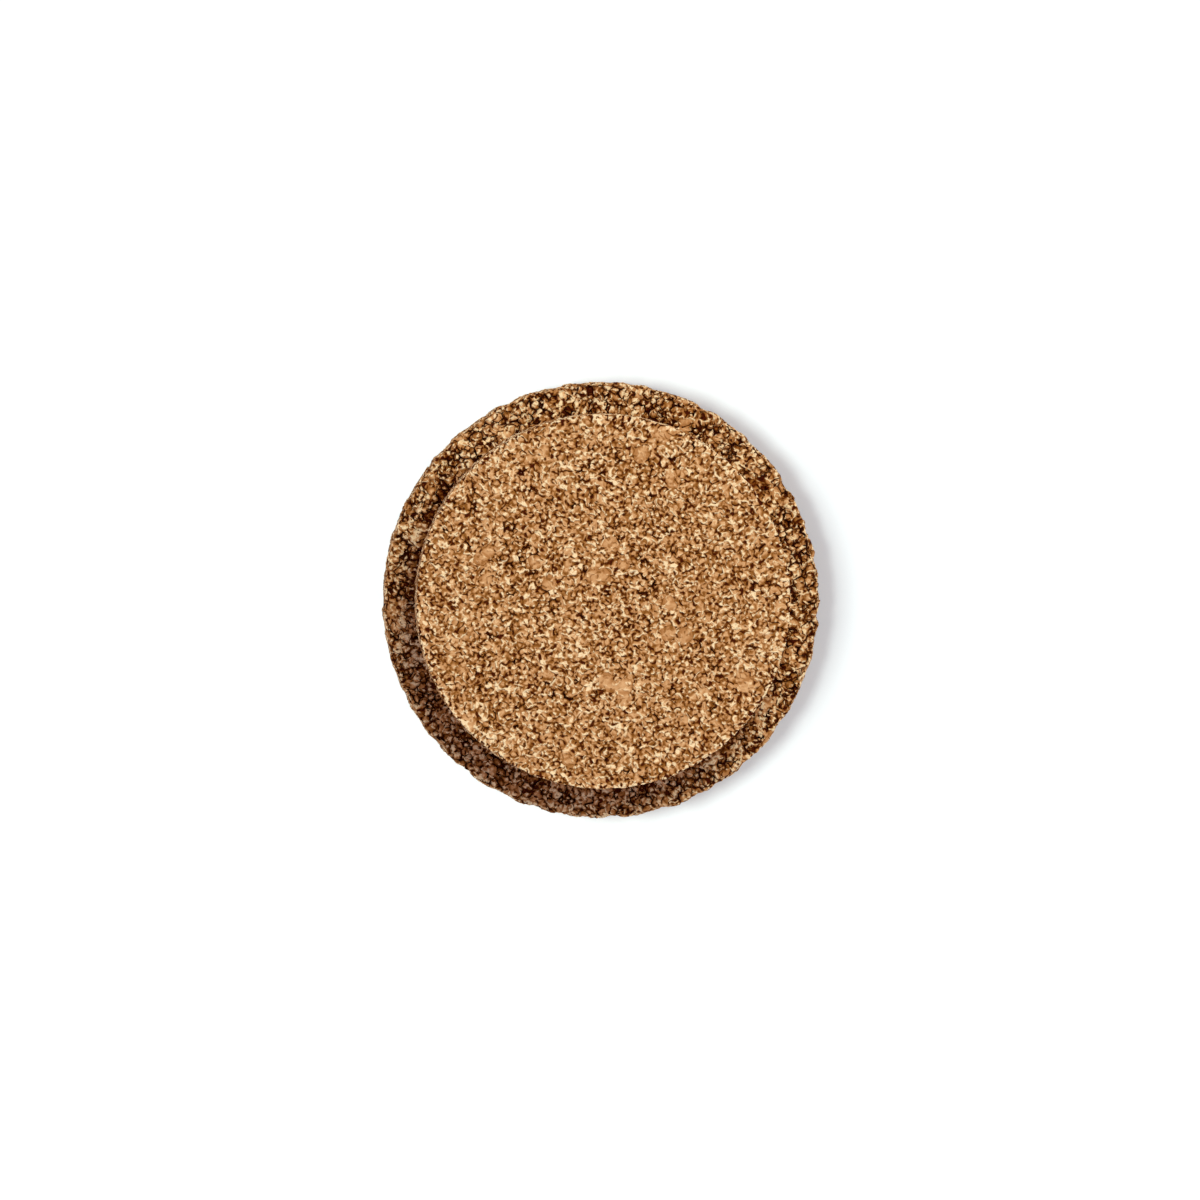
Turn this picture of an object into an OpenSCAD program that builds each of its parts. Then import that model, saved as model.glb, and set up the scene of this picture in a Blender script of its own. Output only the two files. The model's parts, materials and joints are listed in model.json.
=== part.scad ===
// Flanged stopper of agglomerated cork, for a wide-mouth jar.
// It is one solid turned from a pressed block. The cap rests on the jar's rim and the plug
// fills the neck. The stopper is drawn as it lies on a bench: cap down, plug up.
// The origin is the centre of the cap's outer face, and +Z runs along the axis to the plug.

/* [Plug] */
// Diameter of the plug, set by the neck that it closes
plug_d = 60; // [25:1:120]
// Length of the plug from the shoulder to its end face
plug_h = 14; // [8:0.5:40]
// Rounding left by sanding on the plug's end edge
plug_edge_r = 0.3; // [0.1:0.1:2]

/* [Cap] */
// Width of the shoulder that sits on the jar's rim
shoulder_w = 5; // [3:0.5:15]
// Thickness of the cap
cap_h = 11; // [5:0.5:25]
// Rounding of the cap's edge on the shoulder side
shoulder_edge_r = 0.8; // [0.1:0.1:2]
// Rounding of the cap's edge on the outer face
face_edge_r = 0.6; // [0.1:0.1:2]

/* [Finish] */
// Colour of the cork
cork_colour = "#AF7D50"; // [#AF7D50:Natural, #8A5A38:Toasted, #C79A6C:Pale]

/* [Hidden] */

// Smoothness of the turned surfaces
$fn = 180;
// Radius of the plug
plug_r = plug_d / 2;
// Radius of the cap, which overhangs the plug by the shoulder
cap_r = plug_r + shoulder_w;

// Section of what rounding takes off a square corner that points right and up
module corner_waste(r) {
    difference() {
        square(r);
        circle(r);
    }
}

// Half section of a disc from the axis outwards, standing on y = 0
module disc_section(r, h, low_edge_r, high_edge_r) {
    difference() {
        square([r, h]);
        if (high_edge_r > 0)
            translate([r - high_edge_r, h - high_edge_r])
                corner_waste(high_edge_r);
        if (low_edge_r > 0)
            translate([r - low_edge_r, low_edge_r])
                mirror([0, 1])
                    corner_waste(low_edge_r);
    }
}

// The whole half section: the cap, with the plug rising out of its middle
module stopper_section() {
    disc_section(cap_r, cap_h, face_edge_r, shoulder_edge_r);
    // The plug's section starts at the outer face, so that the two join as one piece
    disc_section(plug_r, cap_h + plug_h, 0, plug_edge_r);
}

// Cap and plug, turned as one piece of cork
module stopper() {
    color(cork_colour)
        rotate_extrude()
            stopper_section();
}

stopper();
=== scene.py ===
"""A flanged stopper of agglomerated cork, as granules pressed into a block, turned and sanded.

The solid is replaced by one closed mesh of the same form. Its surface is cut into granules, each a
little lower than its neighbours, with the gaps and pits that the cutter and the sander leave open.
"""

import json
import math
from collections import namedtuple

import bpy
import numpy as np
from bpy.props import FloatProperty, FloatVectorProperty, IntProperty, PointerProperty
from mathutils import Matrix, Vector
from mathutils.geometry import delaunay_2d_cdt


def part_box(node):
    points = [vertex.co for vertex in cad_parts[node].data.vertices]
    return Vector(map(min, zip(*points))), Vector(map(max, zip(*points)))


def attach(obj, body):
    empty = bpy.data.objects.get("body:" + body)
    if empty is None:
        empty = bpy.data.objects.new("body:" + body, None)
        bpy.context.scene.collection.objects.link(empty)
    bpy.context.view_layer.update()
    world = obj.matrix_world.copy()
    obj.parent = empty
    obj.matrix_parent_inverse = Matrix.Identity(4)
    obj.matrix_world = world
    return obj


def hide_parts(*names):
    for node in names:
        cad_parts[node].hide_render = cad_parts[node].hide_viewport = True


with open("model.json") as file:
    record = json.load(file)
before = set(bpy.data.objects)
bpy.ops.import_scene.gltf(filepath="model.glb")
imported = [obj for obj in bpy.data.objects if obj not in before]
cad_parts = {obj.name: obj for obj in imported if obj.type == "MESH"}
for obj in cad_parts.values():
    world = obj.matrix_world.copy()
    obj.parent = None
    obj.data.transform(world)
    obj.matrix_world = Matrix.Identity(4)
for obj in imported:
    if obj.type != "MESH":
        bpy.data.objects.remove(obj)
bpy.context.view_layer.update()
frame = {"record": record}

bl_info = {
    "name": "Agglomerated cork stopper",
    "version": (1, 0, 0),
    "blender": (4, 5, 0),
    "location": "3D View > Sidebar > Cork Stopper",
    "description": "Dresses a turned stopper as pressed cork granules and sets it on a pale bench",
    "category": "Add Mesh",
}

MM = 0.001
NODE = "stopper"
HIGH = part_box(NODE)[1]
MOUNTS = {mount["name"]: mount for mount in frame["record"]["mounts"]}
PLUG = MOUNTS["plug"]
PLUG_WALL_TOP = PLUG["pos_m"][2] + PLUG["dims"]["length_mm"] * MM / 2
SHOULDER_Z = MOUNTS["shoulder"]["pos_m"][2]


def linear(code):
    """The linear colour of an sRGB hex code, such as "#AF7D50"."""
    channels = [int(code[i : i + 2], 16) / 255 for i in (1, 3, 5)]
    return tuple(c / 12.92 if c <= 0.04045 else ((c + 0.055) / 1.055) ** 2.4 for c in channels)


# ---------------------------------------------------------------- settings


def length(name, description, millimetres):
    """A length that a user may change, given in millimetres and kept in metres."""
    return FloatProperty(
        name=name, description=description, default=millimetres * MM, min=0.0, unit="LENGTH", precision=5
    )


def share(name, description, default):
    """A share from 0 to 1."""
    return FloatProperty(
        name=name, description=description, default=default, min=0.0, max=1.0, subtype="FACTOR"
    )


def colour(name, description, code):
    """A colour, given as an sRGB hex code."""
    return FloatVectorProperty(
        name=name, description=description, default=linear(code), subtype="COLOR", size=3, min=0.0, max=1.0
    )


class StopperForm(bpy.types.PropertyGroup):
    """Sizes of the turned form, as the solid has them."""

    cap_radius: length("Cap radius", "Outer radius of the cap", HIGH.x / MM)
    cap_height: length("Cap height", "Height of the shoulder above the bench", SHOULDER_Z / MM)
    plug_radius: length("Plug radius", "Radius of the plug", PLUG["dims"]["r_mm"])
    total_height: length("Total height", "Height of the plug's end above the bench", HIGH.z / MM)
    plug_edge: length("Plug edge", "Rounding of the plug's end edge", (HIGH.z - PLUG_WALL_TOP) / MM)
    shoulder_edge: length("Shoulder edge", "Rounding of the cap's edge on the shoulder side", 0.8)
    face_edge: length("Face edge", "Rounding of the cap's edge on the outer face", 0.6)


class CorkGrain(bpy.types.PropertyGroup):
    """Sizes of the granules and of the gaps between them."""

    seed: IntProperty(name="Seed", description="Number that fixes the pattern of granules", default=7)
    large: length("Large granules", "Half width of the few large granules", 1.20)
    medium: length("Medium granules", "Half width of the medium granules", 0.64)
    small: length("Small granules", "Half width of the common granules", 0.44)
    fine: length("Fine granules", "Half width of the crumbs that fill the gaps", 0.30)
    gap: length("Gap width", "Half width of a wide open gap between granules", 0.28)
    pit: length("Pit depth", "Depth of the deepest gaps on a sanded face", 0.45)
    relief: length("Relief", "How far a small granule sinks below a rough-cut face", 0.42)
    dome: length("Dome", "How far a granule's middle stands above its edge on a rough-cut face", 0.20)
    lean: share("Lean", "Steepest slope of a granule's top on a rough-cut face", 0.45)
    sanded_loose: share("Loose when sanded", "On a sanded face, the share of granules beside a gap", 0.03)
    rough_loose: share("Loose when rough", "On a rough-cut face, the share of granules beside a gap", 0.6)
    torn: share("Torn out", "Share of the crumbs that are missing", 0.002)
    bark: share("Bark", "Share of the medium granules that are dark bark", 0.02)
    flecks: share("Flecks", "Share of the smaller granules that are pale flecks", 0.045)
    uneven: length("Unevenness", "How far the cap's rim and the plug's edge are dented", 0.42)


class CorkColours(bpy.types.PropertyGroup):
    """Colours of the cork, from its darkest gaps to its palest granules."""

    gap: colour("Gap", "Inside of the gaps, where binder and dust lie", "#481505")
    dark: colour("Dark granules", "Granules from near the bark", "#602B04")
    brown: colour("Brown granules", "The darker common granules", "#935C26")
    tan: colour("Tan granules", "The common granules", "#BA814F")
    pale: colour("Pale granules", "The paler granules", "#E0AD7A")
    cream: colour("Cream granules", "The palest crumbs", "#FFE0B2")


class BenchStage(bpy.types.PropertyGroup):
    """The bench, the lamps and the camera."""

    floor: colour("Bench", "Colour of the bench top", "#F1FEFA")
    glow: share("Bench whiteness", "Share of clean white in the bench as the camera sees it", 0.33)
    camera_distance: length("Camera distance", "From the camera to the shoulder's level", 5000)
    view_width: length("View width", "Width of the picture at the shoulder's level", 191.6)
    key_power: FloatProperty(
        name="Key power", description="Power of the key lamp", default=2.42, min=0.0, unit="POWER"
    )
    bench_light: FloatProperty(
        name="Bench lamp", description="Strength of the lamp that lights the bench", default=2.55, min=0.0
    )
    fill: FloatProperty(
        name="Fill", description="Strength of the light from all round", default=0.48, min=0.0
    )


# ---------------------------------------------------------------- the turned form


class Section:
    """The stopper's half section, followed from the middle of the plug's end to the middle of the cap's face.

    All lengths are in millimetres. A place on the surface is (s, angle): the way along the section, and
    round the axis. map_log is the logarithm of the radius that s has on a flat map of the whole
    surface, on which small shapes keep their form. STEP is how far apart the section's points are, and
    AXIS_GAP is how near the axis its two ends come.
    """

    STEP = 0.05
    AXIS_GAP = 0.02

    def __init__(self, form):
        cap_r, cap_h = form.cap_radius / MM, form.cap_height / MM
        plug_r, top = form.plug_radius / MM, form.total_height / MM
        e1, e2, e3 = form.plug_edge / MM, form.shoulder_edge / MM, form.face_edge / MM
        self.starts = {}
        self.levels = []
        self.rows = []
        self.travelled = 0.0
        self.line("plug_end", (self.AXIS_GAP, top), (plug_r - e1, top), rough=0.35)
        self.arc("plug_edge", (plug_r - e1, top - e1), e1, 90, 0, rough=0.3, parts=1)
        self.line("plug_wall", (plug_r, top - e1), (plug_r, cap_h), rough=0.6)
        self.line("shoulder", (plug_r, cap_h), (cap_r - e2, cap_h), rough=1.0)
        self.arc("shoulder_edge", (cap_r - e2, cap_h - e2), e2, 90, 0, rough=0.9, parts=2)
        self.line("rim", (cap_r, cap_h - e2), (cap_r, e3), rough=0.6)
        self.arc("face_edge", (cap_r - e3, e3), e3, 0, -90, rough=0.3, parts=1)
        self.line("cap_face", (cap_r - e3, 0), (self.AXIS_GAP, 0), rough=0.2)
        rows = np.array(self.rows)
        # Where two stretches meet, one row stands for both ends and faces halfway between them.
        same = np.append(np.diff(rows[:, 0]) < 1e-9, False)
        rows[1:][same[:-1], 3:] = (rows[1:][same[:-1], 3:] + rows[:-1][same[:-1], 3:]) / 2
        rows = rows[~same]
        self.s, self.r, self.z, self.nr, self.nz, self.rough = rows.T
        steps = np.diff(self.s) * 2 / (self.r[1:] + self.r[:-1])
        flat = np.abs(np.diff(self.z)) < 1e-9
        steps[flat] = np.abs(np.log(self.r[1:] / self.r[:-1]))[flat]
        self.map_log = math.log(self.AXIS_GAP) + np.append(0.0, np.cumsum(steps))
        self.end = self.s[-1]
        area = (self.r[1:] + self.r[:-1]) * np.diff(self.s) * math.pi
        self.area_to = np.append(0.0, np.cumsum(area))

    def add(self, points, normals, rough):
        """Adds a run of points to the section."""
        last = points[0]
        for (r, z), (nr, nz) in zip(points, normals, strict=True):
            self.travelled += math.dist(last, (r, z))
            last = (r, z)
            self.rows.append((self.travelled, r, z, nr, nz, rough))

    def line(self, name, start, end, rough):
        """Adds a straight stretch, with points closer together near the axis."""
        self.begin(name)
        along = math.dist(start, end)
        count = max(2, round(along / self.STEP))
        shares = np.linspace(0, 1, count)
        if min(start[0], end[0]) <= self.AXIS_GAP:
            radii = np.geomspace(start[0], end[0], count)
            shares = (radii - start[0]) / (end[0] - start[0])
        points = [(start[0] + (end[0] - start[0]) * t, start[1] + (end[1] - start[1]) * t) for t in shares]
        normal = ((start[1] - end[1]) / along, (end[0] - start[0]) / along)
        self.add(points, [normal] * count, rough)

    def arc(self, name, centre, radius, from_deg, to_deg, rough, parts):
        """Adds a rounded edge, shown as a few flat parts."""
        self.begin(name)
        turns = np.radians(np.linspace(from_deg, to_deg, 8 * parts + 1))
        normals = [(math.cos(a), math.sin(a)) for a in turns]
        points = [(centre[0] + radius * nr, centre[1] + radius * nz) for nr, nz in normals]
        self.add(points, normals, rough)
        whole = self.travelled - self.starts[name]
        self.levels += [self.starts[name] + whole * i / parts for i in range(1, parts)]

    def begin(self, name):
        """Starts a stretch here. Faces are cut along its first circle, so that the edge stays crisp."""
        self.starts[name] = self.travelled
        if self.travelled > 0:
            self.levels.append(self.travelled)

    def stretch(self, s):
        """Which stretch s is in, as its number in starts."""
        return np.searchsorted(list(self.starts.values()), s, side="right") - 1

    def radius(self, s):
        """Distance from the axis."""
        return np.interp(s, self.s, self.r)

    def roughness(self, s):
        """How rough the cut is, from 0, sanded flush, to 1, torn by the cutter."""
        return np.interp(s, self.s, self.rough)

    def points(self, s, angle, depth):
        """Points in space at these places, depth under the turned surface."""
        r = self.radius(s) - depth * np.interp(s, self.s, self.nr)
        z = np.interp(s, self.s, self.z) - depth * np.interp(s, self.s, self.nz)
        return np.stack([r * np.cos(angle), r * np.sin(angle), z], -1)

    def to_map(self, s, angle):
        """Places on the flat map."""
        radius = np.exp(np.interp(s, self.s, self.map_log))
        return np.stack([radius * np.cos(angle), radius * np.sin(angle)], -1)

    def from_map(self, spots):
        """The (s, angle) of spots on the flat map."""
        s = np.interp(np.log(np.hypot(*spots.T)), self.map_log, self.s)
        return s, np.arctan2(spots[:, 1], spots[:, 0])

    def map_scale(self, s):
        """Length on the flat map for each millimetre of surface."""
        return np.exp(np.interp(s, self.s, self.map_log)) / self.radius(s)


# ---------------------------------------------------------------- granules


# A size of granule: its name in CorkGrain, the number tried for each square centimetre, how much its half
# width varies, how many seeds in a row it may have, how far its tone strays from the middle, how far it
# sinks into a rough face, as shares of CorkGrain's relief, and how plain its face is.
Size = namedtuple("Size", "name tries spread row stray sink calm")
SIZES = (
    Size("large", 5, (0.6, 1.15), (1, 2), 0.35, (0.0, 0.3), 0.7),
    Size("medium", 50, (0.8, 1.2), (1, 2), 0.7, (0.0, 0.6), 0.1),
    Size("small", 300, (0.75, 1.15), (1, 2), 1.0, (0.1, 1.0), 0.0),
    Size("fine", 1100, (0.9, 1.1), (1, 1), 1.0, (0.3, 1.2), 0.0),
)
# The share of each size that a stretch keeps. The shoulder is torn into nuggets, and the face that the
# stopper stands on shows least.
USUAL_SHARE = (0.12, 0.3, 1.0, 1.0)
SHARES = {
    "shoulder": (0.12, 0.85, 0.8, 0.3),
    "shoulder_edge": (0.12, 0.85, 0.8, 0.3),
    "cap_face": (0.08, 0.4, 0.9, 0.3),
}
# The dents in the edges are waves round the axis, added up: how many, and the crests that each may have.
DENT_WAVES = 16
FEWEST_CRESTS, MOST_CRESTS = 14, 74
# How deep a dent is where the waves cancel out, and how much they add, as shares of the deepest.
DENT_USUAL, DENT_SWING = 0.35, 0.5
# How much of the dents shows where each of these stretches starts.
DENTS = {
    "plug_edge": 0.0,
    "plug_wall": 0.8,
    "shoulder": 0.0,
    "shoulder_edge": 0.0,
    "rim": 1.0,
    "face_edge": 1.0,
    "cap_face": 0.0,
}
# Tones beyond those of the common granules, which are from 0 to 1.
BARK_TONE, FLECK_TONE = -0.4, 1.8
# How near two seeds may come, as a share of the distance at which their granules would touch.
CLOSENESS = 0.88
# The steps between the seeds of a long granule, in half widths, and how far each may turn, in radians.
ROW_STEPS = (1.1, 1.5)
ROW_TURN = 0.7
# How strongly each of three granules may pull the joint where they meet.
PULLS = (0.55, 1.6)
# How open the edges of a hole are where a granule is torn out, and how open a gap is before it shows, on
# a sanded face and on a rough one.
TORN_OPEN = 0.85
OPEN_FROM_SANDED, OPEN_FROM_ROUGH = 0.3, 0.1
# How far the floor of a torn-out hole lies under its edges, in millimetres, and how open it shows.
HOLE_DROP, HOLE_OPEN = 0.05, 0.25
# Half width of a gap that is only just open, and how deep it is, in millimetres.
HAIRLINE = 0.02
HAIRLINE_PIT = 0.05
# How much the widths of gaps vary, and how far a gap may reach towards the middle of its granule.
GAP_SPREAD = (0.3, 1.7)
GAP_REACH = 0.45
# How many times more granules are torn out of the roughest cut than out of a sanded face.
TORN_WHEN_ROUGH = 5
# How dark a seam may be at a closed joint, at an open one and on a granule's edge beside a gap.
CLOSED_SEAM, OPEN_SEAM, EDGE_SEAM = 1.05, 1.2, 0.85
# Places along the section that are nearer than this are the same, in millimetres.
TOUCHING = 1e-7


def is_clear(grids, point, half):
    """Whether a seed of this half width would keep its distance from all the others."""
    for cube, cells in grids:
        base = [math.floor(c / cube) for c in point]
        for i in (-1, 0, 1):
            for j in (-1, 0, 1):
                for k in (-1, 0, 1):
                    for x, y, z, other in cells.get((base[0] + i, base[1] + j, base[2] + k), ()):
                        need = (half + other) * CLOSENESS
                        if (x - point[0]) ** 2 + (y - point[1]) ** 2 + (z - point[2]) ** 2 < need * need:
                            return False
    return True


def scatter_seeds(section, grain, rng):
    """Scatters granules over the surface, the largest first. A long granule is a row of seeds.

    Returns each seed's (s, angle), half width and granule, and each granule's place in SIZES.
    """
    grids, places, halves, owners, kinds = [], [], [], [], []
    for kind, size in enumerate(SIZES):
        usual = getattr(grain, size.name) / MM
        cube, cells = 2 * usual * size.spread[1], {}
        grids.append((cube, cells))
        count = round(section.area_to[-1] / 100 * size.tries)
        s = np.interp(rng.random(count) * section.area_to[-1], section.area_to, section.s)
        angle, turn = rng.random((2, count)) * math.tau
        half = usual * rng.uniform(*size.spread, count)
        shortest, longest = size.row
        length_of_row = rng.integers(shortest, longest + 1, count)
        steps = half[:, None] * rng.uniform(*ROW_STEPS, (count, longest - 1))
        step = np.append(np.zeros((count, 1)), steps, 1)
        way = turn[:, None] + np.cumsum(rng.uniform(-ROW_TURN, ROW_TURN, (count, longest)), 1)
        row_s = s[:, None] + np.cumsum(step * np.cos(way), 1)
        row_angle = angle[:, None] + np.cumsum(step * np.sin(way), 1) / section.radius(s)[:, None]
        on = (row_s > section.AXIS_GAP) & (row_s < section.end - section.AXIS_GAP)
        kept = np.array([SHARES.get(stretch, USUAL_SHARE)[kind] for stretch in section.starts])
        on &= (rng.random(count) < kept[section.stretch(s)])[:, None]
        points = section.points(row_s, row_angle, 0.0).tolist()
        for i, seeds in enumerate(length_of_row.tolist()):
            row = points[i][:seeds]
            if not on[i, :seeds].all() or not all(is_clear(grids, point, half[i]) for point in row):
                continue
            for k, point in enumerate(row):
                key = tuple(math.floor(c / cube) for c in point)
                cells.setdefault(key, []).append((*point, half[i]))
                places.append((row_s[i, k], row_angle[i, k]))
                halves.append(half[i])
                owners.append(len(kinds))
            kinds.append(kind)
    return np.array(places), np.array(halves), np.array(owners), np.array(kinds)


def joints_between(section, places, halves, rng):
    """Where three granules meet: the three seeds of each joint, and its place on the surface.

    The seeds are joined into triangles on the flat map, and each triangle holds one joint, nearer to
    its smaller granules. The middle of the cap's face is one more seed, which the map has at infinity.
    """
    spots = section.to_map(*places.T)
    corners = delaunay_2d_cdt([Vector(p) for p in spots.tolist()], [], [], 0, 1e-12, False)[2]
    corners = np.array(corners)
    a, b, c = (spots[corners[:, i]] for i in range(3))
    backward = np.cross(b - a, c - a) < 0
    corners[backward] = corners[backward][:, ::-1]
    sides = {(int(t[i]), int(t[(i + 1) % 3])) for t in corners for i in range(3)}
    rim = sorted(side for side in sides if (side[1], side[0]) not in sides)
    weights = rng.uniform(*PULLS, (len(corners), 3)) / halves[corners]
    at = (spots[corners] * weights[..., None]).sum(1) / weights.sum(1)[:, None]
    s, angle = section.from_map(at)
    # Round the middle of the cap's face, two seeds and the middle make each joint.
    first, second = (places[[side[i] for side in rim]] for i in (0, 1))
    flat = sum(
        (section.radius(p[:, 0]) / 3)[:, None] * np.stack([np.cos(p[:, 1]), np.sin(p[:, 1])], -1)
        for p in (first, second)
    )
    rim_s = section.end - np.hypot(*flat.T)
    rim_corners = np.array([(x, y, len(places)) for y, x in rim])
    corners = np.concatenate([corners, rim_corners])
    return corners, np.append(s, rim_s), np.append(angle, np.arctan2(flat[:, 1], flat[:, 0]))


def wrapped(angle):
    """The same turn, between half a turn back and half a turn on."""
    return (angle + math.pi) % math.tau - math.pi


class CorkSurface:
    """The closed surface of the stopper.

    Its vertices are at (s, angle, depth), and each of its faces lies in one granule.
    """

    def __init__(self, section, grain, rng):
        self.section = section
        places, halves, owners, kinds = scatter_seeds(section, grain, rng)
        corners, joint_s, joint_angle = joints_between(section, places, halves, rng)
        self.places = np.concatenate([places, [(section.end, 0.0)]])
        self.owners = np.append(owners, len(kinds))
        self.kinds = np.append(kinds, len(SIZES) - 1)
        self.corners = corners
        self.make_granules(grain, rng)
        self.make_joints(joint_s, joint_angle, grain, rng)
        self.faces, self.face_owner = [], []
        self.cuts = {}
        self.make_faces()

    def make_granules(self, grain, rng):
        """Gives each granule its tone and how its top lies, and makes some loose or torn out."""
        section = self.section
        count = len(self.kinds)
        stray = np.array([size.stray for size in SIZES])[self.kinds]
        sink = np.array([size.sink for size in SIZES])[self.kinds]
        self.tone = 0.5 + (rng.random(count) - 0.5) * stray
        chance = rng.random(count)
        self.tone[(self.kinds == 1) & (chance < grain.bark)] = BARK_TONE
        self.tone[(self.kinds > 1) & (chance < grain.flecks)] = FLECK_TONE
        self.calm = np.array([size.calm for size in SIZES])[self.kinds]
        self.sink = rng.uniform(sink[:, 0], sink[:, 1]) * grain.relief / MM
        self.lean = rng.uniform(-1, 1, (count, 2)) * grain.lean
        self.dome = grain.dome / MM
        self.uneven = grain.uneven / MM
        self.dents = rng.integers(FEWEST_CRESTS, MOST_CRESTS + 1, DENT_WAVES)
        self.dent_turns = rng.random(DENT_WAVES) * math.tau
        seeds = np.bincount(self.owners)
        spots = section.to_map(*self.places.T)
        middle = np.stack([np.bincount(self.owners, spots[:, i]) / seeds for i in (0, 1)], -1)
        self.middle_s, self.middle_angle = section.from_map(middle)
        rough = section.roughness(self.middle_s)
        loose_share = grain.sanded_loose + (grain.rough_loose - grain.sanded_loose) * rough**3
        self.loose = np.where(rng.random(count) < loose_share, rng.beta(1.3, 1.4, count), 0.0)
        self.loose_way = rng.random(count) * math.tau
        torn_share = grain.torn * (1 + (TORN_WHEN_ROUGH - 1) * rough**3)
        self.torn = (rng.random(count) < torn_share) & (self.kinds == len(SIZES) - 1) & (seeds == 1)
        self.torn[-1] = False

    def dent(self, s, angle):
        """How deep the dents in the cap's rim and in the top of the plug's wall are at (s, angle)."""
        ends = [self.section.starts[name] for name in DENTS]
        on_rim = np.interp(s, ends, list(DENTS.values()))
        swing = np.cos(angle[..., None] * self.dents + self.dent_turns).mean(-1) * math.sqrt(DENT_WAVES)
        return on_rim * self.uneven * np.clip(DENT_USUAL + DENT_SWING * swing, 0.0, 1.0)

    def depth_of(self, owners, s, angle, dome):
        """How deep the tops of these granules lie at (s, angle).

        A rough face shows in full how they sink, lean and bulge.
        """
        off_s = s - self.middle_s[owners]
        off_round = wrapped(angle - self.middle_angle[owners]) * self.section.radius(s)
        lean = self.lean[owners]
        slope = lean[..., 0] * np.clip(off_s, -1, 1) + lean[..., 1] * np.clip(off_round, -1, 1)
        uneven = np.clip(self.sink[owners] + slope + dome, 0.0, None)
        return self.section.roughness(s) * uneven + self.dent(s, angle)

    def make_joints(self, joint_s, joint_angle, grain, rng):
        """Places the vertices of every joint: one at its bottom, and one on the top of each granule there."""
        section, corners = self.section, self.corners
        owners = self.owners[corners]
        rough = section.roughness(joint_s)
        spots = section.to_map(joint_s, joint_angle)
        seed_spots = section.to_map(*self.places.T)
        last = len(self.places) - 1
        # The middle of the cap's face is straight outwards on the map, from any joint.
        around = np.where((corners == last)[..., None], 2 * spots[:, None], seed_spots[corners])
        # A loose granule has a gap along one side, which the joints on that side share.
        off = spots[:, None] - around
        way = np.arctan2(off[..., 1], off[..., 0]) - self.loose_way[owners]
        opens = self.loose[owners] * np.clip(0.25 + 1.1 * np.cos(way), 0.0, 1.0)
        opens[self.torn[owners]] = TORN_OPEN
        open_by = opens.max(1)
        same = owners[:, :, None] == owners[:, None, :]
        inner = same.all((1, 2))
        closed = (open_by < OPEN_FROM_SANDED + (OPEN_FROM_ROUGH - OPEN_FROM_SANDED) * rough) | inner
        open_by[closed] = 0.0
        aim = np.einsum("tij,tjc->tic", same.astype(float), around) / same.sum(2)[..., None] - spots[:, None]
        away = np.linalg.norm(aim, axis=2)
        scale = section.map_scale(joint_s)[:, None]
        widest = rng.uniform(*GAP_SPREAD, len(corners)) * grain.gap / MM * (1 + 0.3 * rough)
        width = (HAIRLINE + open_by * (widest - HAIRLINE))[:, None] * np.ones(3)
        width = np.minimum(width, GAP_REACH * away / scale)
        tops = spots[:, None] + aim / away[..., None] * (width * scale)[..., None]
        top_s, top_angle = section.from_map(tops.reshape(-1, 2))
        depth = self.depth_of(owners.ravel(), top_s, top_angle, self.dome)
        mean_depth = depth.reshape(-1, 3).mean(1)
        pit = open_by * grain.pit / MM * (0.8 + 0.9 * rough)
        bottom_depth = mean_depth + np.where(closed, 0.0, HAIRLINE_PIT + pit)
        self.s = np.concatenate([joint_s, top_s])
        self.angle = np.concatenate([joint_angle, top_angle])
        self.depth = np.concatenate([bottom_depth, depth])
        self.open = np.concatenate([open_by, np.zeros(len(top_s))])
        # Most closed joints are dark, and a few hardly show.
        seam = np.where(inner, 0.0, CLOSED_SEAM * rng.random(len(corners)) ** 0.55)
        self.seam = np.concatenate([np.where(closed, seam, OPEN_SEAM), np.full(len(top_s), EDGE_SEAM)])
        # A top vertex is shared by the seeds of one granule. A closed joint has one vertex for all,
        # and where a granule is torn out, the floor of its hole reaches the bottoms of its joints.
        rows = np.arange(len(corners))[:, None]
        self.top = len(corners) + rows * 3 + np.argmax(same, axis=2)
        self.top[closed] = rows[closed]
        self.top = np.where(self.torn[owners], rows, self.top)

    def make_faces(self):
        """Makes the top of every seed's cell, and the sides of the gaps round each granule."""
        section, corners = self.section, self.corners
        joints = len(corners)
        spots = section.to_map(self.s[:joints], self.angle[:joints])
        seed_spots = section.to_map(*self.places.T)
        seeds = corners.ravel()
        off = np.repeat(spots, 3, axis=0) - seed_spots[seeds]
        last = len(self.places) - 1
        turn = np.where(seeds == last, -np.repeat(self.angle[:joints], 3), np.arctan2(off[:, 1], off[:, 0]))
        order = np.lexsort((turn, seeds))
        ends = np.searchsorted(seeds[order], np.arange(last + 2))
        self.values = [a.tolist() for a in (self.s, self.angle, self.depth, self.open, self.seam)]
        top, owners, corner_list = self.top.tolist(), self.owners.tolist(), corners.tolist()
        torn = self.torn[self.owners]
        centre_depth = self.depth_of(self.owners, *self.places.T, 0.0)
        for seed in range(last + 1):
            ring = [divmod(int(n), 3) for n in order[ends[seed] : ends[seed + 1]]]
            ids = [top[t][i] for t, i in ring]
            owner = owners[seed]
            depth = float(centre_depth[seed])
            if torn[seed]:
                depth = max(self.values[2][i] for i in ids) + HOLE_DROP
            at_s, at_angle = self.places[seed].tolist()
            centre = self.add_vertex(at_s, at_angle, depth, HOLE_OPEN * float(torn[seed]), 0.0)
            for i, j in zip(ids, ids[1:] + ids[:1], strict=True):
                self.cut([centre, i, j], owner)
            for (t1, i1), (t2, i2) in zip(ring, ring[1:] + ring[:1], strict=True):
                if owners[corner_list[t1][(i1 + 2) % 3]] != owner:
                    wall = [top[t2][i2], top[t1][i1], t1, t2]
                    self.cut(list(dict.fromkeys(wall)), owner)

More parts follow.
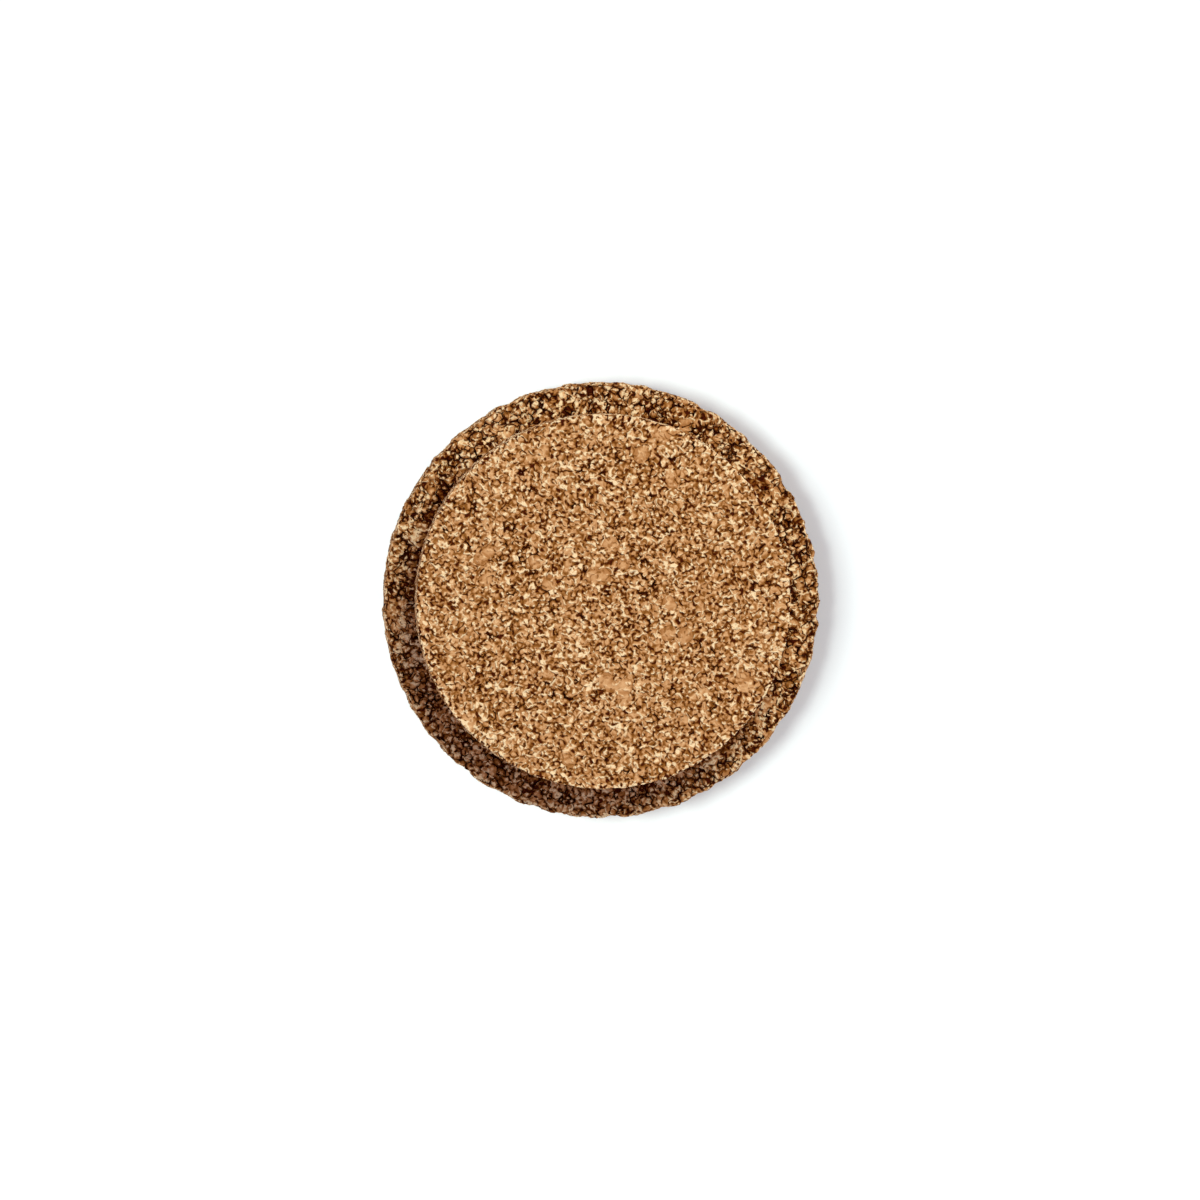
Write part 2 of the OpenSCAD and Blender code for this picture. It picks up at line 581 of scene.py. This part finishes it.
    def add_vertex(self, *values):
        """Adds a vertex and returns its number."""
        for column, value in zip(self.values, values, strict=True):
            column.append(value)
        return len(self.values[0]) - 1

    def cut(self, ids, owner):
        """Adds a face, cut along each edge circle that it crosses, so that the form's edges stay crisp."""
        if len(ids) < 3:
            return
        s = self.values[0]
        lowest, highest = min(s[i] for i in ids), max(s[i] for i in ids)
        level = next((x for x in self.section.levels if lowest + TOUCHING < x < highest - TOUCHING), None)
        if level is None:
            self.faces.append(ids)
            self.face_owner.append(owner)
            return
        if len(ids) > 3:
            for i in range(1, len(ids) - 1):
                self.cut([ids[0], ids[i], ids[i + 1]], owner)
            return
        below = [s[i] < level - TOUCHING for i in ids]
        above = [s[i] > level + TOUCHING for i in ids]
        low, high = [], []
        for k in range(3):
            i, j = ids[k], ids[(k + 1) % 3]
            if not above[k]:
                low.append(i)
            if not below[k]:
                high.append(i)
            if (below[k] and above[(k + 1) % 3]) or (above[k] and below[(k + 1) % 3]):
                new = self.crossing(min(i, j), max(i, j), level)
                low.append(new)
                high.append(new)
        self.cut(low, owner)
        self.cut(high, owner)

    def crossing(self, i, j, level):
        """The vertex where the edge from i to j crosses a circle, made once for both faces."""
        key = (i, j, level)
        if key not in self.cuts:
            s, angle, *others = self.values
            t = (level - s[i]) / (s[j] - s[i])
            turned = angle[i] + t * wrapped(angle[j] - angle[i])
            self.cuts[key] = self.add_vertex(level, turned, *(v[i] + t * (v[j] - v[i]) for v in others))
        return self.cuts[key]


# ---------------------------------------------------------------- the mesh


# How far the painted highlight on the plug's end edge and the painted shade at its base reach, in
# millimetres.
ARRIS_HIGHLIGHT_WIDTH = 0.25
FOOT_SHADE_WIDTH = 0.7
# The name of the flat layout of the skin, and the gap between its parts, in millimetres.
BAKE_MAP = "OFBake"
CHART_GAP = 1.5
# An edge between two faces is shown sharp from this many degrees.
SHARP_FROM = 38
MOST_TRIANGLES = 200_000


def turned_spots(centre, radii, angles):
    """Spots at these radii and angles round a centre."""
    x, y = centre
    return [(x + r * math.cos(a), y + r * math.sin(a)) for r, a in zip(radii, angles, strict=True)]


def chart_corners(section, s, angle):
    """Where one face's corners lie when the skin is laid out flat, and the sheet's side, in millimetres.

    The shoulder lies round the plug's end, with the cap's face beside them. Each wall is cut into two
    strips above them.
    """
    starts = section.starts
    middle = sum(s) / len(s)
    ring_in = starts["plug_wall"] + CHART_GAP
    ring_out = ring_in + starts["rim"] - starts["shoulder"]
    face_r = section.end - starts["face_edge"]
    side = 2 * (ring_out + face_r) + 3 * CHART_GAP
    if middle < starts["plug_wall"]:
        return turned_spots([CHART_GAP + ring_out] * 2, s, angle), side
    if starts["shoulder"] < middle < starts["rim"]:
        radii = [x - starts["shoulder"] + ring_in for x in s]
        return turned_spots([CHART_GAP + ring_out] * 2, radii, angle), side
    if middle > starts["face_edge"]:
        centre = 2 * (CHART_GAP + ring_out) + face_r, CHART_GAP + face_r
        return turned_spots(centre, [section.end - x for x in s], angle), side
    on_plug = middle < starts["shoulder"]
    first, last = ("plug_wall", "shoulder") if on_plug else ("rim", "face_edge")
    tall = starts[last] - starts[first]
    radius = float(section.radius((starts[first] + starts[last]) / 2))
    mean = sum(angle) / len(angle)
    half = int(mean % math.tau // math.pi)
    shift = mean % math.tau - mean - half * math.pi
    bottom = 2 * (CHART_GAP + ring_out) + CHART_GAP + half * (tall + CHART_GAP)
    if not on_plug:
        bottom += 2 * (starts["shoulder"] - starts["plug_wall"] + CHART_GAP)
    left = 2 * CHART_GAP + radius * shift
    return [(left + radius * a, bottom + x - starts[first]) for x, a in zip(s, angle, strict=True)], side


def build_mesh(surface, name):
    """Makes the mesh in metres, with each granule's tone, each gap's openness and the flat layout."""
    section = surface.section
    s, angle, depth, opened, seam = (np.array(v) for v in surface.values)
    points = section.points(s, angle, depth) * MM
    used = np.zeros(len(s), bool)
    for ids in surface.faces:
        used[ids] = True
    number = np.cumsum(used) - 1
    mesh = bpy.data.meshes.new(name)
    mesh.from_pydata(points[used].tolist(), [], [number[ids].tolist() for ids in surface.faces])
    by_point = {
        "gap": opened,
        "seam": seam,
        "cut": section.roughness(s),
        # A painted highlight along the plug's end edge.
        "arris_highlight": np.exp(-(((s - section.starts["plug_edge"]) / ARRIS_HIGHLIGHT_WIDTH) ** 2)),
        # Painted shade in the corner at the plug's base.
        "foot_shade": np.exp(-(((s - section.starts["shoulder"]) / FOOT_SHADE_WIDTH) ** 2)),
    }
    for key, values in by_point.items():
        mesh.attributes.new(key, "FLOAT", "POINT").data.foreach_set("value", values[used].astype(np.float32))
    for key, values in (("tone", surface.tone), ("calm", surface.calm)):
        of_face = values[surface.face_owner].astype(np.float32)
        mesh.attributes.new(key, "FLOAT", "FACE").data.foreach_set("value", of_face)
    layout = []
    for ids in surface.faces:
        base = angle[ids[0]]
        turns = [base + wrapped(angle[i] - base) for i in ids]
        spots, side = chart_corners(section, [s[i] for i in ids], turns)
        layout += [c / side for spot in spots for c in spot]
    mesh.uv_layers.new(name=BAKE_MAP).data.foreach_set("uv", layout)
    mesh.validate()
    mesh.shade_smooth()
    mesh.set_sharp_from_angle(angle=math.radians(SHARP_FROM))
    return mesh


# ---------------------------------------------------------------- materials


def add(tree, kind, inputs=(), stops=(), **settings):
    """Adds a node with its settings and links.

    Inputs holds the sockets' values in order, or pairs each socket with its value. A node as a value
    stands for its first output. Stops holds the places and colours of a ramp.
    """
    node = tree.nodes.new("ShaderNode" + kind)
    for key, value in settings.items():
        setattr(node, key, value)
    if stops:
        elements = node.color_ramp.elements
        while len(elements) < len(stops):
            elements.new(0.5)
        for element, (position, shade) in zip(elements, stops, strict=True):
            element.position = position
            element.color = (*shade, 1.0)
    pairs = inputs.items() if isinstance(inputs, dict) else enumerate(inputs)
    for socket, value in pairs:
        source = value.outputs[0] if isinstance(value, bpy.types.Node) else value
        if isinstance(source, bpy.types.NodeSocket):
            tree.links.new(source, node.inputs[socket])
        else:
            node.inputs[socket].default_value = source
    return node


def per_mm(size):
    """The scale of a texture whose lumps are this many millimetres wide, in object space."""
    return 1 / (size * MM)


def curls(tree, space, size, width, kept):
    """Curled lines, 1 along the middle and fading to 0, where kept is high."""
    noise = add(tree, "TexNoise", {"Vector": space, "Scale": per_mm(size), "Detail": 0.0})
    off = add(tree, "Math", (noise.outputs["Fac"], -0.5), operation="ADD")
    off = add(tree, "Math", (off,), operation="ABSOLUTE")
    line = add(tree, "MapRange", (off, 0.0, width, 1.0, 0.0), interpolation_type="SMOOTHSTEP")
    shown = add(tree, "MapRange", (kept, 0.4, 0.56))
    return add(tree, "Math", (line, shown), operation="MULTIPLY")


# Sizes of what the sander leaves within a granule, in millimetres: raised curls, torn creases, ragged
# blotches, and how often and how far the curls turn aside. Cork's own cells are too fine to show, so
# these stand for them, as coarse as they need to be.
CURL, CREASE, BLOTCH = 1.2, 1.1, 0.6
TURNS_EVERY, TURNS_ASIDE = 1.2, 1.0


def shavings(tree, space):
    """How pale the cork is within a granule, about 0: pale curls and dark creases over ragged blotches."""
    noise = add(tree, "TexNoise", {"Vector": space, "Scale": per_mm(TURNS_EVERY), "Detail": 1.0})
    turns = noise.outputs["Color"], [TURNS_ASIDE * MM] * 3, space
    turned = add(tree, "VectorMath", turns, operation="MULTIPLY_ADD")
    # The creases come from another part of the noise, so that they don't follow the curls.
    aside = add(tree, "VectorMath", (turned, [31 * MM] * 3), operation="ADD")
    noise = add(tree, "TexNoise", {"Vector": space, "Scale": per_mm(BLOTCH), "Detail": 0.0})
    kept = add(tree, "SeparateColor", (noise.outputs["Color"],))
    pale = curls(tree, turned, CURL, 0.15, kept.outputs[0])
    dark = curls(tree, aside, CREASE, 0.13, kept.outputs[1])
    noise = add(tree, "TexNoise", {"Vector": turned, "Scale": per_mm(BLOTCH), "Detail": 0.0})
    blotch = add(tree, "Math", (noise.outputs["Fac"], -0.5), operation="ADD")
    lines = add(tree, "Math", (dark, -0.27, -0.02), operation="MULTIPLY_ADD")
    lines = add(tree, "Math", (pale, 0.25, lines), operation="MULTIPLY_ADD")
    return add(tree, "Math", (blotch, 0.2, lines), operation="MULTIPLY_ADD")


# How pale a granule is on its way from its middle, 0, to the darkest seam, 1. Its edge is paler.
SEAM_TONES = ((0.0, 0.5), (0.15, 0.66), (0.3, 0.52), (0.5, 0.28), (1.0, 0.2))
# For a sanded face and for the rough-cut shoulder: the usual tone, and how much a granule's own tone, its
# seams and its shavings count.
BASE_TONE = (0.578, 0.625)
BY_GRANULE = (0.14, 0.6)
BY_SEAM = (1.15, 0.9)
BY_SHAVING = (1.2, 2.3)
# How far one granule may be darker or paler than the base tone.
DARKEST, PALEST = -0.33, 0.36


def sanded_agglomerated_cork(colours):
    """Agglomerated cork, turned and sanded.

    The sander opens each granule across its cells, which gives the eye dry, matte crumbs in many tans
    with dark brown seams of binder between them. The rough-cut shoulder has the strongest contrast, the
    plug's end edge has a painted highlight, and painted shade darkens the corner at the plug's base.
    """
    material = bpy.data.materials.new("sanded_agglomerated_cork")
    material.use_nodes = True
    tree = material.node_tree
    tree.nodes.clear()
    space = add(tree, "TexCoord").outputs["Object"]
    tone, calm, gap, seam, cut, arris_highlight, foot_shade = (
        add(tree, "Attribute", attribute_name=name).outputs["Fac"]
        for name in ("tone", "calm", "gap", "seam", "cut", "arris_highlight", "foot_shade")
    )

    def by_cut(levels):
        """A value that changes from the first level on a sanded face to the second on the shoulder."""
        return add(tree, "MapRange", (cut, 0.3, 1.0, *levels))

    shaving = shavings(tree, space)
    # A calm granule shows less of its seams and shavings, above all where it's sanded.
    less = add(tree, "MapRange", (cut, 0.5, 1.0, -0.75, -0.3))
    busy = add(tree, "Math", (calm, less, 0.95), operation="MULTIPLY_ADD")
    # The shavings make the seams ragged.
    ragged = add(tree, "Math", (seam, 0.7), operation="MULTIPLY")
    ragged = add(tree, "Math", (shaving, -0.6, ragged), operation="MULTIPLY_ADD")
    across = add(tree, "ValToRGB", (ragged,), [(position, [shade] * 3) for position, shade in SEAM_TONES])
    on_seam = add(tree, "Math", (across, -0.5), operation="ADD")

    by_granule = add(tree, "Math", (tone, -0.5), operation="ADD")
    by_granule = add(tree, "Math", (by_granule, by_cut(BY_GRANULE)), operation="MULTIPLY")
    by_granule = add(tree, "MapRange", (by_granule, DARKEST, PALEST, DARKEST, PALEST))
    by_seam = add(tree, "Math", (on_seam, by_cut(BY_SEAM)), operation="MULTIPLY")
    within = add(tree, "Math", (shaving, by_cut(BY_SHAVING), by_seam), operation="MULTIPLY_ADD")
    value = add(tree, "Math", (by_granule, by_cut(BASE_TONE)), operation="ADD")
    value = add(tree, "Math", (within, busy, value), operation="MULTIPLY_ADD")
    value = add(tree, "Math", (calm, 0.06, value), operation="MULTIPLY_ADD")
    # A painted highlight along the plug's end edge.
    highlight_lift = add(tree, "Math", (shaving, 3.0, 0.14), operation="MULTIPLY_ADD")
    value = add(tree, "Math", (arris_highlight, highlight_lift, value), operation="MULTIPLY_ADD")
    # Painted shade in the corner at the plug's base.
    value = add(tree, "Math", (foot_shade, -0.2, value), operation="MULTIPLY_ADD")
    shades = (
        (0.0, colours.gap),
        (0.16, colours.dark),
        (0.34, colours.brown),
        (0.54, colours.tan),
        (0.74, colours.pale),
        (0.87, colours.cream),
    )
    cork = add(tree, "ValToRGB", (value,), shades)
    in_gap = add(tree, "MapRange", (gap, 0.0, 0.45), interpolation_type="SMOOTHSTEP")
    # Of this node's sockets, 0 is the share of the second colour, and 6 and 7 are the colours.
    cork_or_gap = {0: in_gap, 6: cork, 7: (*colours.gap, 1.0)}
    mixed = add(tree, "Mix", cork_or_gap, data_type="RGBA").outputs[2]

    height = add(tree, "Math", (on_seam, 0.25, shaving), operation="MULTIPLY_ADD")
    height = add(tree, "Math", (height, busy), operation="MULTIPLY")
    bump = add(tree, "Bump", {"Strength": 1.0, "Distance": 0.8 * MM, "Height": height})
    dry = {"Base Color": mixed, "Roughness": 0.85, "Specular IOR Level": 0.03, "Normal": bump}
    shader = add(tree, "BsdfPrincipled", dry)
    add(tree, "OutputMaterial", {"Surface": shader})
    return material


def white_painted_bench(shade, glow):
    """A bench painted matt white, which gives the eye a plain clean white that still takes a shadow."""
    material = bpy.data.materials.new("white_painted_bench")
    material.use_nodes = True
    tree = material.node_tree
    shader = tree.nodes["Principled BSDF"]
    shader.inputs["Base Color"].default_value = (*shade, 1.0)
    shader.inputs["Roughness"].default_value = 0.9
    shader.inputs["Specular IOR Level"].default_value = 0.0
    seen = add(tree, "LightPath").outputs["Is Camera Ray"]
    part = add(tree, "Math", (seen, glow), operation="MULTIPLY")
    white = add(tree, "Emission", {"Color": (*linear("#FFFFFF"), 1.0), "Strength": 1.0})
    both = add(tree, "MixShader", (part, shader, white))
    tree.links.new(both.outputs[0], tree.nodes["Material Output"].inputs["Surface"])
    return material


def studio_world(fill):
    """Even light from all round, with a white background behind the bench."""
    world = bpy.data.worlds.new("studio")
    world.use_nodes = True
    tree = world.node_tree
    seen = add(tree, "LightPath").outputs["Is Camera Ray"]
    # The light is a little violet, so its background needs more than 1 to be white in every channel.
    strength = add(tree, "MapRange", (seen, 0.0, 1.0, fill, 1.2))
    tree.nodes["Background"].inputs["Color"].default_value = (*linear("#F9EDFF"), 1.0)
    tree.links.new(strength.outputs[0], tree.nodes["Background"].inputs["Strength"])
    return world


# ---------------------------------------------------------------- operators


class CORK_OT_stopper(bpy.types.Operator):
    """Replace the plain solid by the stopper's granular cork form"""

    bl_idname = "cork.stopper"
    bl_label = "Add cork stopper"

    def execute(self, context):
        scene = context.scene
        grain = scene.cork_grain
        rng = np.random.default_rng(grain.seed)
        section = Section(scene.cork_form)
        surface = CorkSurface(section, grain, rng)
        mesh = build_mesh(surface, "cork_stopper")
        piece = bpy.data.objects.new("cork_stopper", mesh)
        context.collection.objects.link(piece)
        mesh.materials.append(sanded_agglomerated_cork(scene.cork_colours))
        triangles = sum(len(face.vertices) - 2 for face in mesh.polygons)
        print("cork_stopper:", len(surface.places), "seeds,", triangles, "triangles")
        if triangles > MOST_TRIANGLES:
            raise RuntimeError(f"the stopper has more than {MOST_TRIANGLES} triangles")
        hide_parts(NODE)
        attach(piece, "root")
        return {"FINISHED"}


def direction(azimuth, elevation):
    """The unit vector towards a lamp or camera, from its azimuth and elevation in degrees."""
    a, e = math.radians(azimuth), math.radians(elevation)
    return Vector((math.cos(a) * math.cos(e), math.sin(a) * math.cos(e), math.sin(e)))


def place(name, data, way, distance, lit=None):
    """Sets a lamp that way from the stopper, facing it. Lit, where given, is all that it lights."""
    lamp = bpy.data.objects.new(name, data)
    lamp.location = way * distance
    lamp.rotation_euler = way.to_track_quat("Z", "Y").to_euler()
    bpy.context.collection.objects.link(lamp)
    if lit:
        group = bpy.data.collections.new("lit_by_" + name)
        group.objects.link(lit)
        lamp.light_linking.receiver_collection = group
    return lamp


# Where the lamps and the camera are, as azimuth and elevation in degrees from the stopper.
KEY_WAY = (60, 68)
BENCH_LAMP_WAY = (180, 70.6)
CAMERA_WAY = (146.3, 88.34)
# The key lamp's side and its distance from the stopper, in metres.
KEY_SIZE, KEY_DISTANCE = 0.22, 0.6
# How wide the bench lamp looks, in degrees, which makes the shadow's edge soft.
BENCH_LAMP_SPREAD = 16
# Where the camera aims, across the shoulder's level, in millimetres, and its sensor's width.
AIM_X, AIM_Y = -0.23, 0.04
SENSOR_MM = 36


class CORK_OT_stage(bpy.types.Operator):
    """Add the bench, the lamps and the camera"""

    bl_idname = "cork.stage"
    bl_label = "Add bench and lamps"

    def execute(self, context):
        scene = context.scene
        stage = scene.cork_stage
        bpy.ops.mesh.primitive_plane_add(size=6.0, location=(0, 0, -0.00002))
        bench = context.object
        bench.name = "bench_top"
        bench.data.materials.append(white_painted_bench(stage.floor, stage.glow))
        scene.world = studio_world(stage.fill)
        key = bpy.data.lights.new("key", "AREA")
        key.energy = stage.key_power
        key.size = KEY_SIZE
        key.color = linear("#F7FFEE")
        place("key", key, direction(*KEY_WAY), KEY_DISTANCE, scene.objects["cork_stopper"])
        # A second lamp, on the left, lights only the bench, so the stopper's shadow falls to the right.
        sun = bpy.data.lights.new("bench_lamp", "SUN")
        sun.energy = stage.bench_light
        sun.angle = math.radians(BENCH_LAMP_SPREAD)
        place("bench_lamp", sun, direction(*BENCH_LAMP_WAY), 1.0, bench)
        camera = bpy.data.cameras.new("camera")
        camera.sensor_width = SENSOR_MM
        camera.clip_end = 20
        camera.lens = SENSOR_MM * stage.camera_distance / stage.view_width
        back = direction(*CAMERA_WAY)
        across = Vector((0, 1, 0)).cross(back).normalized()
        seat = bpy.data.objects.new("camera", camera)
        seat.rotation_euler = Matrix((across, back.cross(across), back)).transposed().to_euler()
        aim = Vector((AIM_X * MM, AIM_Y * MM, scene.cork_form.cap_height))
        seat.location = aim + back * stage.camera_distance
        context.collection.objects.link(seat)
        scene.camera = seat
        scene.view_settings.view_transform = "Standard"
        return {"FINISHED"}


class CORK_PT_panel(bpy.types.Panel):
    """The stopper's tools"""

    bl_label = "Cork Stopper"
    bl_idname = "CORK_PT_panel"
    bl_space_type = "VIEW_3D"
    bl_region_type = "UI"
    bl_category = "Cork Stopper"

    def draw(self, context):
        for group in GROUPS:
            box = self.layout.box()
            settings = getattr(context.scene, group)
            for name in settings.__annotations__:
                box.prop(settings, name)
        self.layout.operator("cork.stopper")
        self.layout.operator("cork.stage")


GROUPS = {
    "cork_form": StopperForm,
    "cork_grain": CorkGrain,
    "cork_colours": CorkColours,
    "cork_stage": BenchStage,
}
CLASSES = (*GROUPS.values(), CORK_OT_stopper, CORK_OT_stage, CORK_PT_panel)


def register():
    """Registers the settings, operators and panel."""
    for cls in CLASSES:
        bpy.utils.register_class(cls)
    for name, group in GROUPS.items():
        setattr(bpy.types.Scene, name, PointerProperty(type=group))


def unregister():
    """Removes what register added."""
    for name in GROUPS:
        delattr(bpy.types.Scene, name)
    for cls in reversed(CLASSES):
        bpy.utils.unregister_class(cls)


def main():
    """Builds the stopper and its stage."""
    register()
    bpy.ops.cork.stopper()
    bpy.ops.cork.stage()


if __name__ == "__main__":
    main()
